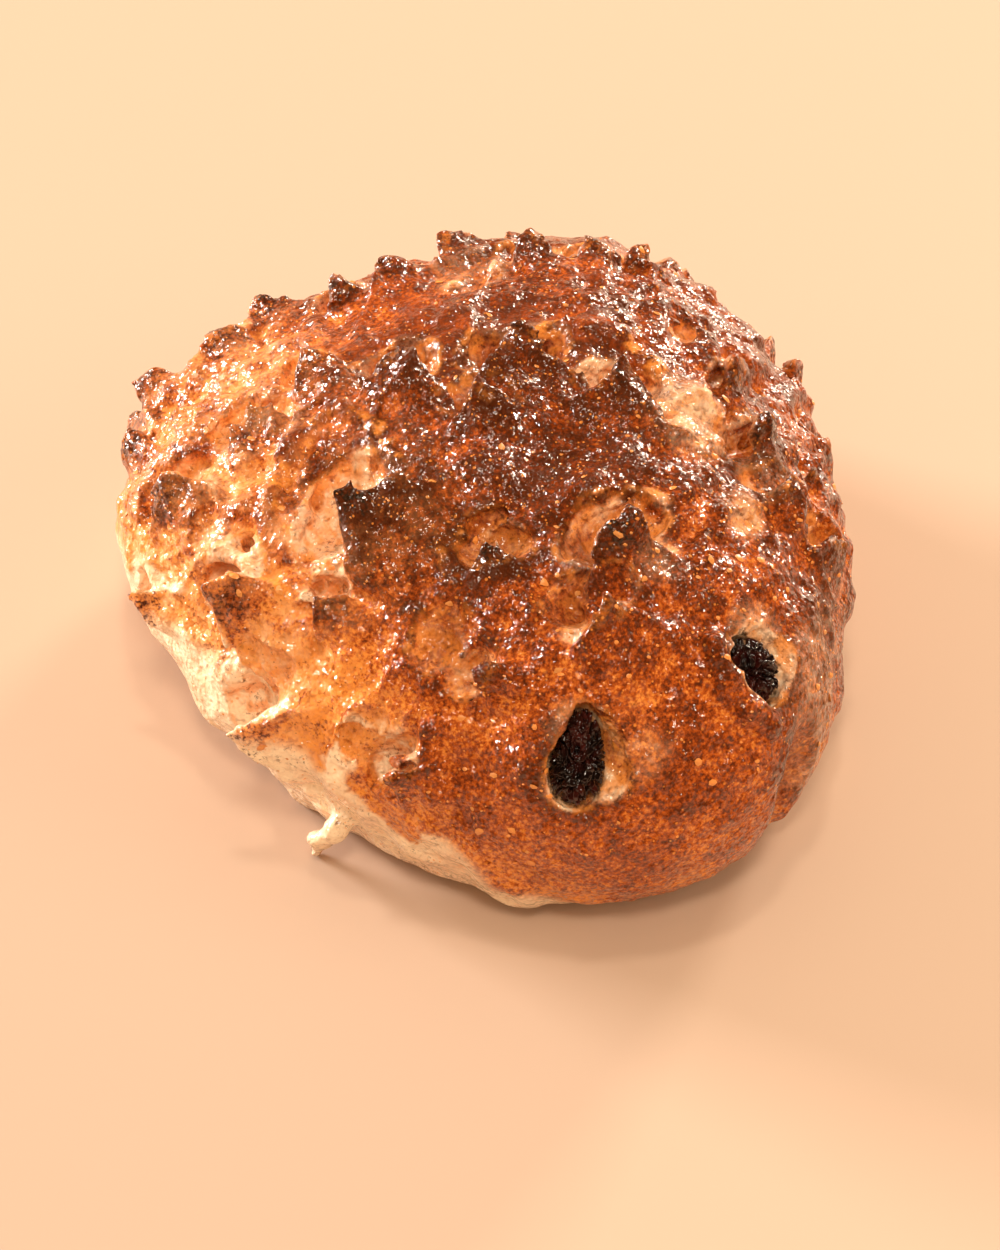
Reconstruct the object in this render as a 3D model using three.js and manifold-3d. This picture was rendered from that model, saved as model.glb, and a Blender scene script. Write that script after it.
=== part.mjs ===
// A hedgehog bread roll: an egg-shaped dome of baked dough whose back is snipped into raised points,
// each with the scooped cut behind it, and two raisins pressed into the face as eyes.
// Millimetres, +Z up. The roll rests on z = 0, its snout points along -Y and its tail along +Y.
import * as THREE from "three";
import { mergeVertices } from "three/addons/utils/BufferGeometryUtils.js";
import Module from "manifold-3d";

// The dome
const LENGTH = 111;
const WIDTH = 96;
const CROWN = 50; // height of the dome without its points
const WAIST = 19; // height of the widest ring
const FOOT = 0.82; // share of the widest ring that touches the table
const TAPER = 0.235; // how much the snout is narrower and the tail wider than the middle
const SQUARENESS = 2.2; // exponent of the plan outline, 2 is an ellipse
const SWELL = 0.9; // depth of the slow unevenness of the dough
const MIDDLE = [-0.8, 1.9]; // middle of the whole roll's box, points and spur included, seen from above
const DOME_SIDES = 48;
const UPPER_RINGS = [0, 10, 20, 30, 40, 50, 60, 70, 81];
const LOWER_RINGS = [-90, -55, -30, -14];

// A snipped point of size 1 and the cut behind it
const POINT_WIDTH = 14;
const POINT_LENGTH = 8;
const POINT_LIFT = 5;
const POINT_START = -0.8; // where its front leaves the crust, as a share of its length
const POINT_BEND = 1.1; // exponent of its rise, 1 is a straight front
const POINT_ROOF = 1.9; // how far its front falls from the middle to the sides
const ROOF_BEND = 1.2; // exponent of that fall
const POINT_SUNK = 0.5; // how deep its front starts below the crust
const POINT_ROOT = 5.4; // how much thicker it is at the root than at the end
const POINT_TIP_WIDTH = 0.4; // half width of the end of its right-angled corner
const POINT_TIP_THICKNESS = 0.8;
const POINT_UNDERSIDE = 0.55; // width of its underside as a share of its full width
const CUT_SIZE = [7.4, 4.6, 4.4]; // half sizes: across, along and into the dough
const CUT_PLACE = 8.2; // from the middle of the root towards the tail
const CUT_TILT = 22; // degrees by which the cut runs in under its point

// Points on the side that shows, in rows from the face to the tail:
// bearing from the snout and rise from the waist in degrees, size, and a turn away from the tail
const SHOWN_POINTS = [
  // behind the face
  [-51, 9, 0.75, -10], [-40, 37, 0.6, 20], [-12, 46, 0.95, -8], [55, 22, 0.7, 20], [56, 36, 0.6, 15],
  // low on the near side and over the brow
  [-72, 4, 1.05, 0], [-71, 37, 0.65, -5], [-72, 56.5, 1.2, 20], [-42, 56, 0.7, -25], [6, 57, 1.05, -5],
  [-1, 57, 0.9, -5], [67, 38, 0.8, 30], [70, 25, 0.5, 30],
  // across the crown
  [-84, 28, 1, 0], [-73, 83, 0.75, -20], [64, 72, 0.95, -30], [83, 43, 0.55, 20], [97, 49, 0.5, 0],
  // behind the crown
  [-100, 10, 0.65, 5], [-107, 32, 0.9, -15], [-127, 75, 0.95, -15], [124, 85, 1, -15], [122, 48, 0.65, -10],
  [-119, 51, 0.7, 10], [-137, 61, 0.65, 10],
  // along the tail
  [-124, 23, 0.8, -20], [-138, 28, 0.95, 10], [-148, 38, 0.7, 0], [-160, 37, 0.8, 0], [-169, 48, 0.55, 0],
  [178, 50, 0.65, 10], [162, 48, 0.8, 10], [147, 54, 0.65, -10], [132, 50, 0.6, -10],
];

// Points of the far side carry the same rows on round the tail, staggered
const FAR_ROWS = [
  { rise: 15, from: 100, to: 170, count: 4, size: 0.5 },
  { rise: 8, from: 122, to: 222, count: 6, size: 0.7 },
  { rise: 9, from: 80, to: 104, count: 2, size: 0.4 },
];
const FAR_JITTER = 5; // degrees of bearing and half of it in rise
const FAR_LEAST = 0.85; // smallest of them as a share of their row's size
const FAR_SPREAD = 0.3; // how much larger the largest is
const FAR_TURN = 20; // degrees from the most turned to one side to the most turned to the other
const SEED = 7;

// Pits with no point: bearing, rise, turn and half sizes
const PITS = [
  [-47.5, 66, 0, [2.8, 2.6, 1.7]], [-53, 43.5, 20, [5.6, 4.2, 2.6]], [-77, 43, 30, [3.8, 2.5, 1.4]],
  [-61, 17, 0, [4.6, 4.2, 1.7]], [-124, 54, 10, [4.2, 3.4, 2.2]], [-142, 57, -20, [3.8, 3, 2]],
  [-18, 56, 0, [5.4, 3.6, 3.2]], [70.5, 61.5, 0, [1.2, 0.9, 2]], [164, 56, 10, [5, 3, 1.4]],
  [-161, 82, 0, [4, 2.4, 1.6]],
];

// Eyes: raisins pressed into pockets whose far wall shows
const EYES = [
  { name: "raisin_eye_right", bearing: -26, rise: 26, lean: -49, size: [3.6, 6.7, 3], taper: 0.28 },
  { name: "raisin_eye_left", bearing: 21.5, rise: 32, lean: 36, size: [4.3, 4.8, 3], taper: 0 },
];
const EYE_SINK = 1.6; // centre of a raisin below the crust
const POCKET_CLEARANCE = 0.6;
const POCKET_OPENING = 2.8; // how far a pocket runs on past its raisin, towards +X
const OPENING_LIFT = 2; // how much higher that part of the pocket lies
const OPENING_TILT = -20; // degrees, so that it runs out to the crust
const OPENING_LENGTH = 0.92; // its length as a share of the raisin's room
const WRINKLE_DEPTH = 0.35;
const WRINKLES = [[7, 4, 0, 0], [0, 6, -5, 2]]; // waves per half size along X, Y and Z, and where each starts
const RAISIN_DETAIL = 4;
const POCKET_DETAIL = 2;

// Crease where the snout folds in against the cheek
const CREASE = { bearing: 24, rise: -12, size: [15, 3.6, 3.6] };

// Spur of dough that hangs from the near side down to the table
const SPUR_PATH = [[-37, -22, 12], [-40.2, -23, 8.5], [-41.8, -22, 5], [-42, -20.6, 1.6]];
const SPUR_ROOT = 2;
const SPUR_END = 0.9;
const SPUR_TIP = 0.6; // its last ring as a share of the end
const SPUR_STEPS = 7;
const SPUR_SIDES = 8;

const CRUST = { color: 0x9a4f1c, roughness: 0.4, metalness: 0 };
const RAISIN = { color: 0x1d0d0a, roughness: 0.35, metalness: 0 };

const wasm = await Module();
wasm.setup();

const radians = THREE.MathUtils.degToRad;

// Repeatable random numbers from 0 to 1
function drawsFrom(seed) {
  let state = seed;
  return () => {
    state = (state * 16807) % 2147483647;
    return state / 2147483647;
  };
}

// A point of the dome at a bearing from the snout and a rise above the waist, in degrees
function domePoint(bearing, rise) {
  const around = radians(bearing);
  const x = Math.sin(around);
  const y = -Math.cos(around);
  const reach = (Math.abs(x) ** SQUARENESS + Math.abs(y) ** SQUARENESS) ** (-1 / SQUARENESS);
  const angle = radians(rise);
  const upper = rise >= 0;
  const shrink = upper ? Math.cos(angle) : FOOT + (1 - FOOT) * Math.cos(angle);
  const z = upper ? WAIST + (CROWN - WAIST) * Math.sin(angle) : WAIST * (1 + Math.sin(angle));
  const swell = SWELL * Math.sin(3 * around + 1) * Math.sin(2 * angle) * (upper ? 1 : 0);
  const scale = shrink + (2 * swell) / WIDTH;
  const across = x * reach * (1 + TAPER * y * reach) * scale * (WIDTH / 2);
  return new THREE.Vector3(across, y * reach * scale * (LENGTH / 2), z);
}

// The frame on the dome there: X towards the side, Y towards the tail along the crust, Z out of the crust
function domeFrame(bearing, rise, turn = 0) {
  const step = 0.2;
  const place = domePoint(bearing, rise);
  const along = domePoint(bearing + step, rise).sub(domePoint(bearing - step, rise));
  const up = domePoint(bearing, rise + step).sub(domePoint(bearing, rise - step));
  const out = along.cross(up).normalize();
  const tail = new THREE.Vector3(0, 1, 0).addScaledVector(out, -out.y).normalize();
  const side = new THREE.Vector3().crossVectors(tail, out);
  const frame = new THREE.Matrix4().makeBasis(side, tail, out).setPosition(place);
  return frame.multiply(new THREE.Matrix4().makeRotationZ(radians(turn)));
}

// A closed skin over rings with the same number of points each, from the first ring to the last
function skin(rings) {
  const sides = rings[0].length;
  const centre = (ring) => ring.reduce((sum, p) => sum.add(p), new THREE.Vector3()).divideScalar(sides);
  const points = [...rings.flat(), centre(rings[0]), centre(rings.at(-1))];
  const start = rings.length * sides;
  const faces = [];
  for (let ring = 0; ring + 1 < rings.length; ring += 1) {
    for (let side = 0; side < sides; side += 1) {
      const a = ring * sides + side;
      const b = ring * sides + ((side + 1) % sides);
      faces.push(a, b, b + sides, a, b + sides, a + sides);
    }
  }
  for (let side = 0; side < sides; side += 1) {
    const next = (side + 1) % sides;
    const last = start - sides;
    faces.push(start, next, side, start + 1, last + side, last + next);
  }
  const geometry = new THREE.BufferGeometry().setFromPoints(points);
  geometry.setIndex(faces);
  return geometry;
}

function dome() {
  const bearings = Array.from({ length: DOME_SIDES }, (_, k) => (k * 360) / DOME_SIDES);
  const ring = (rise) => bearings.map((bearing) => domePoint(bearing, rise));
  return skin([...LOWER_RINGS, ...UPPER_RINGS].map(ring));
}

// A snipped point: a flap whose front carries the crust on, rising to a right-angled corner in plan
function flap(size) {
  const half = (POINT_WIDTH / 2) * size;
  const length = POINT_LENGTH * size;
  const start = POINT_START * length;
  const stations = [[start, half], [length - half, half], [length, POINT_TIP_WIDTH]];
  const rings = stations.map(([y, width]) => {
    const t = (y - start) / (length - start);
    const top = (POINT_LIFT * size + POINT_SUNK) * t ** POINT_BEND - POINT_SUNK;
    const edge = top - POINT_ROOF * size * (width / half) ** ROOF_BEND;
    const bottom = top - POINT_TIP_THICKNESS - POINT_ROOT * size * (1 - t);
    const under = width * POINT_UNDERSIDE;
    const profile = [[width, edge], [0, top], [-width, edge], [-under, bottom], [under, bottom]];
    return profile.map(([x, z]) => new THREE.Vector3(x, y, z));
  });
  return skin(rings.reverse());
}

// A rounded hollow with the given half sizes
function hollow(x, y, z, detail = 1) {
  return new THREE.IcosahedronGeometry(1, detail).scale(x, y, z);
}

// The cut behind a point, a wide slot that runs in under the point's end
function cut(size) {
  const [x, y, z] = CUT_SIZE;
  const scoop = hollow(x * size, y * size, z * Math.sqrt(size));
  return scoop.rotateX(radians(CUT_TILT)).translate(0, CUT_PLACE * size, 0);
}

function snips() {
  const draw = drawsFrom(SEED);
  const list = SHOWN_POINTS.map(([bearing, rise, size, turn]) => ({ bearing, rise, size, turn }));
  for (const row of FAR_ROWS) {
    const spacing = (row.to - row.from) / (row.count - 1);
    for (let k = 0; k < row.count; k += 1) {
      const bearing = row.from + k * spacing + FAR_JITTER * (2 * draw() - 1);
      const rise = row.rise + (FAR_JITTER / 2) * (2 * draw() - 1);
      const size = row.size * (FAR_LEAST + FAR_SPREAD * draw());
      list.push({ bearing, rise, size, turn: FAR_TURN * (draw() - 0.5) });
    }
  }
  return list;
}

// The frame of an eye: Y along the raisin, Z out of the crust
function eyeFrame(eye) {
  const sunk = new THREE.Matrix4().makeTranslation(0, 0, -EYE_SINK);
  return domeFrame(eye.bearing, eye.rise, eye.lean).multiply(sunk);
}

// The raisins and their rooms may be narrower at the upper end
function narrow(geometry, taper, length) {
  const spots = geometry.attributes.position;
  for (let k = 0; k < spots.count; k += 1) {
    spots.setX(k, spots.getX(k) * (1 - (taper * spots.getY(k)) / length));
  }
  return geometry;
}

function raisin(eye) {
  const geometry = mergedSkin(new THREE.IcosahedronGeometry(1, RAISIN_DETAIL));
  const spots = geometry.attributes.position;
  const point = new THREE.Vector3();
  for (let k = 0; k < spots.count; k += 1) {
    point.fromBufferAttribute(spots, k);
    const waves = WRINKLES.map(([x, y, z, start]) => {
      return Math.sin(x * point.x + y * point.y + z * point.z + start);
    });
    const height = waves.reduce((sum, wave) => sum + wave, 0) / waves.length - 1;
    point.multiplyScalar(1 + (WRINKLE_DEPTH * height) / eye.size[0]);
    spots.setXYZ(k, point.x * eye.size[0], point.y * eye.size[1], point.z * eye.size[2]);
  }
  return narrow(geometry, eye.taper, eye.size[1]);
}

// The pocket of an eye: the raisin's own room and the opening beside it, towards +X
function pocket(eye) {
  const [x, y, z] = eye.size.map((half) => half + POCKET_CLEARANCE);
  const room = narrow(hollow(x, y, z, POCKET_DETAIL), eye.taper, y);
  const opening = narrow(hollow(x, y * OPENING_LENGTH, z, POCKET_DETAIL), eye.taper, y);
  opening.rotateY(radians(OPENING_TILT)).translate(POCKET_OPENING, 0, OPENING_LIFT);
  return [room, opening];
}

function spur() {
  const path = new THREE.CatmullRomCurve3(SPUR_PATH.map((p) => new THREE.Vector3(...p)));
  const rings = Array.from({ length: SPUR_STEPS + 1 }, (_, k) => {
    const t = k / SPUR_STEPS;
    const centre = path.getPoint(t);
    const ahead = path.getTangent(t);
    const side = new THREE.Vector3(0, 1, 0).cross(ahead).normalize();
    const over = ahead.clone().cross(side);
    const radius = (SPUR_ROOT + (SPUR_END - SPUR_ROOT) * t) * (k === SPUR_STEPS ? SPUR_TIP : 1);
    return Array.from({ length: SPUR_SIDES }, (_, n) => {
      const around = (n * 2 * Math.PI) / SPUR_SIDES;
      return centre.clone().addScaledVector(side, radius * Math.cos(around))
        .addScaledVector(over, radius * Math.sin(around));
    });
  });
  return skin(rings);
}

function mergedSkin(geometry) {
  const bare = geometry.clone();
  bare.deleteAttribute("normal");
  bare.deleteAttribute("uv");
  return mergeVertices(bare, 1e-4);
}

function toSolid(geometry, frame = new THREE.Matrix4()) {
  const bare = mergedSkin(geometry.clone().applyMatrix4(frame));
  return new wasm.Manifold(new wasm.Mesh({
    numProp: 3,
    vertProperties: new Float32Array(bare.attributes.position.array),
    triVerts: new Uint32Array(bare.index.array),
  }));
}

function toGeometry(solid) {
  const { vertProperties, triVerts } = solid.getMesh();
  const geometry = new THREE.BufferGeometry();
  geometry.setAttribute("position", new THREE.BufferAttribute(new Float32Array(vertProperties), 3));
  geometry.setIndex(new THREE.BufferAttribute(new Uint32Array(triVerts), 1));
  return geometry;
}

// The one solid of dough: cuts and pockets are taken out of the dome, then points and spur are joined on
function dough() {
  const points = snips();
  const place = (snip) => domeFrame(snip.bearing, snip.rise, snip.turn);
  let solid = toSolid(dome());
  for (const snip of points) {
    solid = solid.subtract(toSolid(cut(snip.size), place(snip)));
  }
  for (const [bearing, rise, turn, size] of PITS) {
    solid = solid.subtract(toSolid(hollow(...size), domeFrame(bearing, rise, turn)));
  }
  solid = solid.subtract(toSolid(hollow(...CREASE.size), domeFrame(CREASE.bearing, CREASE.rise)));
  for (const snip of points) {
    solid = solid.add(toSolid(flap(snip.size), place(snip)));
  }
  for (const eye of EYES) {
    for (const space of pocket(eye)) {
      solid = solid.subtract(toSolid(space, eyeFrame(eye)));
    }
  }
  solid = solid.add(toSolid(spur()));
  const table = new THREE.BoxGeometry(2 * WIDTH, 2 * LENGTH, CROWN).translate(0, 0, -CROWN / 2);
  solid = solid.subtract(toSolid(table));
  // the largest shell is the roll; a closed bubble or a loose scrap is dropped
  return solid.decompose().sort((a, b) => b.volume() - a.volume())[0];
}

function piece(name, geometry, finish) {
  const mesh = new THREE.Mesh(geometry, new THREE.MeshStandardMaterial(finish));
  mesh.name = name;
  return mesh;
}

const roll = new THREE.Group();
roll.add(piece("roll", toGeometry(dough()), CRUST));
for (const eye of EYES) {
  const mesh = piece(eye.name, raisin(eye), RAISIN);
  mesh.applyMatrix4(eyeFrame(eye));
  roll.add(mesh);
}
roll.position.set(-MIDDLE[0], -MIDDLE[1], 0);

export default roll;
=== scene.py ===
"""A hedgehog bread roll as a Blender add-on: baked crust, snipped points, raisin eyes and bran flakes."""
import math

import bmesh
import bpy
import numpy as np
import openvdb
from mathutils import Matrix, Vector, noise


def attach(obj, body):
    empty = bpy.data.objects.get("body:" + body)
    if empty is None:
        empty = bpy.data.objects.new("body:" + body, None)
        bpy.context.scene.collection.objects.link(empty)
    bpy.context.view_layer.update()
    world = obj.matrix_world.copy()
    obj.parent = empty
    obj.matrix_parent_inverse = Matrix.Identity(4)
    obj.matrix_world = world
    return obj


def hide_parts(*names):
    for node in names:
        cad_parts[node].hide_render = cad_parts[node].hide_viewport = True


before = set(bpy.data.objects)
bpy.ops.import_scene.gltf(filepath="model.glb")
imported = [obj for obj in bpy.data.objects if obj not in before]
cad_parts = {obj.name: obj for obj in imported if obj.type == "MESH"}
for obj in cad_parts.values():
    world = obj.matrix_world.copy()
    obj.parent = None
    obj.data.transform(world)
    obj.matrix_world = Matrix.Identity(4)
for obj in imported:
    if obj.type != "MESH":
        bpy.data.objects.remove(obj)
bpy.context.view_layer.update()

bl_info = {
    "name": "Hedgehog bread roll",
    "version": (1, 0, 0),
    "blender": (4, 5, 0),
    "location": "3D View > Sidebar > Hedgehog roll",
    "description": "Bakes a hedgehog bread roll with snipped points and raisin eyes",
    "category": "Mesh",
}

MM = 0.001
MOST_TRIANGLES = 196000

# A snipped point of size 1, in mm and shares of its length and half width
POINT_START = -0.8  # where its front leaves the crust
POINT_BEND = 1.1  # exponent of its rise, 1 is a straight front
POINT_SUNK = 0.5  # how deep its front starts below the crust
POINT_ROOF = 1.9  # how far its front falls from the middle to the sides
ROOF_BEND = 1.2  # exponent of that fall
FLAT_FROM = 1.15  # points of this size and up have a flatter front
FLAT_ROOF = 0.8
POINT_ROOT = 5.4  # how much thicker it is at the root than at the end
THINNEST_END = 0.8
POINT_CORNER = 0.2  # half width of the end of its right-angled corner
# The cut behind it: half sizes across, along and into the dough, its place behind the root, and its lean
CUT_SIZE = (7.4, 4.6, 4.4)
CUT_PLACE = 8.2
CUT_TILT = math.radians(22)

# Points on the side that shows, in rows from the face to the tail: bearing from the snout and rise from the
# waist in degrees, size, a turn away from the tail, how burnt the end is, and how pale the cut behind it is
SHOWN_POINTS = [
    # behind the face
    (-51, 9, 0.75, -10, 0.4, 0.9), (-40, 37, 0.6, 20, 0.3, 0.5), (-12, 46, 0.95, -8, 0.2, 0.1),
    (55, 22, 0.7, 20, 0.3, 0.4), (56, 36, 0.6, 15, 0.3, 0.3),
    # low on the near side and over the brow
    (-72, 4, 1.05, 0, 0.35, 1), (-71, 37, 0.65, -5, 0.2, 1), (-72, 56.5, 1.2, 20, 1, 0.95),
    (-42, 56, 0.7, -25, 0.9, 0.4), (6, 57, 1.05, -5, 0.9, 0.6), (-1, 57, 0.9, -5, 0.8, 0.3),
    (67, 38, 0.8, 30, 0.7, 0.5), (70, 25, 0.5, 30, 0.3, 0.2),
    # across the crown
    (-84, 28, 1, 0, 0.5, 0.9), (-73, 83, 0.75, -20, 0.2, 0.3), (64, 72, 0.95, -30, 0.5, 0.8),
    (83, 43, 0.55, 20, 0.4, 0.5), (97, 49, 0.5, 0, 0.4, 0.4),
    # behind the crown
    (-100, 10, 0.65, 5, 0.4, 0.6), (-107, 32, 0.9, -15, 0.4, 0.5), (-127, 75, 0.95, -15, 0.6, 0.4),
    (124, 85, 1, -15, 0.5, 0.2), (122, 48, 0.65, -10, 0.4, 0.4), (-119, 51, 0.7, 10, 0.2, 0.6),
    (-137, 61, 0.65, 10, 0.3, 0.6),
    # along the tail
    (-124, 23, 0.8, -20, 0.4, 0.5), (-138, 28, 0.95, 10, 0.35, 0.5), (-148, 38, 0.7, 0, 0.5, 0.4),
    (-160, 37, 0.8, 0, 0.7, 0.4), (-169, 48, 0.55, 0, 0.5, 0.6), (178, 50, 0.65, 10, 0.5, 0.3),
    (162, 48, 0.8, 10, 0.6, 0.8), (147, 54, 0.65, -10, 0.5, 0.3), (132, 50, 0.6, -10, 0.5, 0.4),
]
# Rows that run on round the far side: rise, first and last bearing, count and size, then how far off their
# places are in degrees, their least size and how much is added to it, their turn, and how they are baked
FAR_ROWS = [(15, 100, 170, 4, 0.5), (8, 122, 222, 6, 0.7), (9, 80, 104, 2, 0.4)]
FAR_JITTER = 5
FAR_LEAST = 0.85
FAR_SPREAD = 0.3
FAR_TURN = 20
FAR_BAKE = (0.4, 0.4)
SEED = 7

# Pits with no point: bearing, rise, turn, half sizes in mm and how pale they are
PITS = [
    (-47.5, 66, 0, (2.8, 2.6, 1.7), 0.3),
    (-53, 43.5, 20, (5.6, 4.2, 2.6), 0.2),
    (-77, 43, 30, (3.8, 2.5, 1.4), 1),
    (-61, 17, 0, (4.6, 4.2, 1.7), 0.9),
    (-124, 54, 10, (4.2, 3.4, 2.2), 0.45),
    (-142, 57, -20, (3.8, 3, 2), 0.5),
    (-18, 56, 0, (5.4, 3.6, 3.2), 0.05),
    (70.5, 61.5, 0, (1.2, 0.9, 2), 0),
    (164, 56, 10, (5, 3, 1.4), 0.6),
    (-161, 82, 0, (4, 2.4, 1.6), 0.2),
]

# Thin ridges of crust that stand between the cuts: places as bearing and rise, and a radius in mm
RIDGES = [
    ([(-97, 70), (-75, 63.5), (-62, 58.5), (-53, 54)], 0.75),
    ([(-96, 45), (-112, 55), (-122, 64), (-109, 70)], 0.9),
    ([(-97, 36), (-88, 35), (-80, 38)], 0.8),
    ([(-57, 13), (-52, 19), (-53, 25)], 0.7),
    ([(28, 54), (44, 52), (52, 44)], 0.8),
    ([(150, 74), (110, 66), (92, 62)], 0.9),
]
# Pale patches of thin crust: bearing, rise, reach in mm and strength
PALE_PATCHES = [
    (-89, 49, 4.5, 0.6), (-93.5, 64, 4, 0.5), (-97, 33, 5, 0.6), (-80, 15, 11, 1.25), (-100, 14, 8, 0.9),
    (73.5, 58, 8, 0.75), (62, 41, 5, 0.7), (164, 53, 6, 1), (-61, 17, 5.5, 1), (-78, 43, 3.4, 1),
    (-144, 45, 8, 0.7), (-123, 55, 5, 0.5), (-112, 44, 6, 0.6), (-98, 8, 8, 0.6), (14, 58, 4, 0.8),
    (-21, 50, 2.6, 0.9), (-15.5, 28.5, 6, 0.35), (27, 37, 4, 0.7), (-47.5, 65, 2.4, 0.6), (48, 48, 4, 0.5),
    (-28, 33, 3, 0.6), (36, 14, 9, 0.32), (34, -8, 9, 0.3), (50, 16, 8, 0.25),
]

# How high the pale dough reaches above the table: bearing and height in mm
DOUGH_LINE = [
    (-180, 7), (-130, 16), (-112, 25), (-98, 32), (-84, 34), (-76, 33), (-68, 30), (-58, 27), (-50, 24),
    (-42, 18), (-34, 10), (-22, 5), (0, 3.5), (24, 4), (34, 6), (50, 6), (90, 6), (180, 7),
]

# Raisin eyes: bearing, rise, lean and half sizes in mm
EYES = {
    "raisin_eye_right": (-26, 26, -49, (3.6, 6.7, 3.0)),
    "raisin_eye_left": (21.5, 32, 36, (4.3, 4.8, 3.0)),
}
# A fold of crust over the low side of the left eye: places as bearing and rise, and a radius in mm
EYE_FOLD = ([(14, 41), (13, 34), (14.5, 27), (18, 21)], 1.7)
# How much narrower a raisin is at its upper end, how deep its centre lies, and the air round it in mm
EYE_TAPER = {"raisin_eye_right": 0.28, "raisin_eye_left": 0.0}
EYE_SINK = 1.6
POCKET_CLEARANCE = 0.6
# The opening beside a raisin: how far it runs on towards +X, how much of that it climbs, its lean and its
# length as a share of the raisin's room
POCKET_OPENING = 2.8
OPENING_CLIMB = 0.7
OPENING_TILT = math.radians(-20)
OPENING_LENGTH = 0.92

# Where the snout folds in against the cheek: bearing, rise and half sizes in mm
CREASE = (24, -12, (15, 3.6, 3.6))
# A string of dough that hangs down to the table, in mm
SPUR_PATH = [(-37, -22, 12), (-40.2, -23, 8.5), (-41.8, -22, 5), (-42, -20.6, 1.6)]
SPUR_ROOT = 2.0
SPUR_END = 0.9
# Fillets in mm where one form meets the next
CUT_FILLET = 0.7
PIT_FILLET = 0.6
RIDGE_FILLET = 1.4
POINT_FILLET = 0.8
CREASE_FILLET = 2.0
SPUR_FILLET = 1.0
# The middle of the whole roll's box seen from above, in the dome's own frame
MIDDLE = np.array([-0.8, 1.9, 0.0])

# Unevenness of the crust: how far it goes in mm, the size of its features in mm and a seed
WARPS = [(0.45, 8, 11), (0.27, 3.2, 21)]
ROUGHNESS = {
    "lumps": (0.3, 7, 41),
    "grain": (0.18, 2.2, 31),
    "fine grain": (0.1, 1.1, 32),
    "shoulder": (0.5, (4.5, 1.7, 2.4), 35),
    "flank": (0.3, (1.8, 2.6, 2.6), 36),
    "rump": (0.4, (2.4, 2.8, 2.0), 34),
}

# How much each mask adds to the baking of the crust; the flank's share makes the left side paler, partly as
# painted light from the left window
BAKING = {"top": 0.43, "flank": -0.4, "toast": 0.48, "low": -0.4, "snout": 0.33}

# Bran flakes: how many, their sides, and their least radius in mm and how much is added to it
FLAKES = 900
FLAKE_SIDES = 7
FLAKE_LEAST = 0.2
FLAKE_SPREAD = 0.7

# The picture in pixels, and the pixel where the middle of the dome lies in it, 20 mm above the table
PICTURE_WIDTH, PICTURE_HEIGHT = 1000, 1250
PIXELS_PER_METRE = 7112
MIDDLE_PIXEL = (516, 559)
MIDDLE_HEIGHT = 0.020

# Lamps: turn from straight behind the roll and rise in degrees, width and height in metres, share of the
# window light's power, colour, and whether the crust mirrors it
COOL, WARM = (1, 0.97, 0.93), (1, 0.89, 0.72)
LAMPS = {
    "window left": (-60, 15, 0.65, 0.5, 2.3, COOL, True),
    "window right": (31, 14, 0.42, 0.25, 1.3, WARM, True),
    "skylight": (10, 62, 1.6, 1.6, 0.15, WARM, False),
    "small lamp": (0, 84, 0.2, 0.2, 0.25, WARM, True),
    "front lamp": (180, 68, 0.35, 0.35, 0.45, WARM, True),
    "side lamp": (100, 30, 1.2, 1.2, 0.4, WARM, False),
}
LAMP_REACH = 2.2  # metres from the roll to each lamp
LAMP_AIM = (0, 0, 0.03)


def distance_setting(name, description, default):
    """A length in metres that a user can change."""
    return bpy.props.FloatProperty(name=name, description=description, default=default, subtype="DISTANCE",
                                   unit="LENGTH")


def share_setting(name, description, default, least, most):
    """A share that a user can change."""
    return bpy.props.FloatProperty(name=name, description=description, default=default, subtype="FACTOR",
                                   min=least, max=most)


def angle_setting(name, description, degrees):
    """An angle that a user can change."""
    return bpy.props.FloatProperty(name=name, description=description, default=math.radians(degrees),
                                   subtype="ANGLE", unit="ROTATION")


def colour_setting(name, description, default):
    """A colour that a user can change."""
    return bpy.props.FloatVectorProperty(name=name, description=description, default=default, subtype="COLOR",
                                         size=3, min=0, max=1)


class RollSizes(bpy.types.PropertyGroup):
    """Sizes of the roll."""
    width: distance_setting("Width", "Width of the dome", 0.096)
    length: distance_setting("Length", "Length from snout to tail", 0.111)
    crown: distance_setting("Crown", "Height of the dome without its points", 0.050)
    waist: distance_setting("Waist", "Height of the widest ring", 0.019)
    foot: share_setting("Foot", "Share of the widest ring that touches the table", 0.82, 0.5, 1)
    taper: share_setting("Taper", "How much the snout is narrower than the middle", 0.235, 0, 0.5)
    squareness: bpy.props.FloatProperty(name="Squareness", default=2.2,
                                        description="Exponent of the outline, 2 is an ellipse")
    swell: distance_setting("Swell", "Depth of the slow unevenness", 0.0009)
    point_width: distance_setting("Point width", "Width of a snipped point", 0.014)
    point_length: distance_setting("Point length", "Length of a snipped point", 0.008)
    point_lift: distance_setting("Point lift", "Height of a point's end", 0.005)
    grid: distance_setting("Grid", "Step of the distance field", 0.0005)


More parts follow.
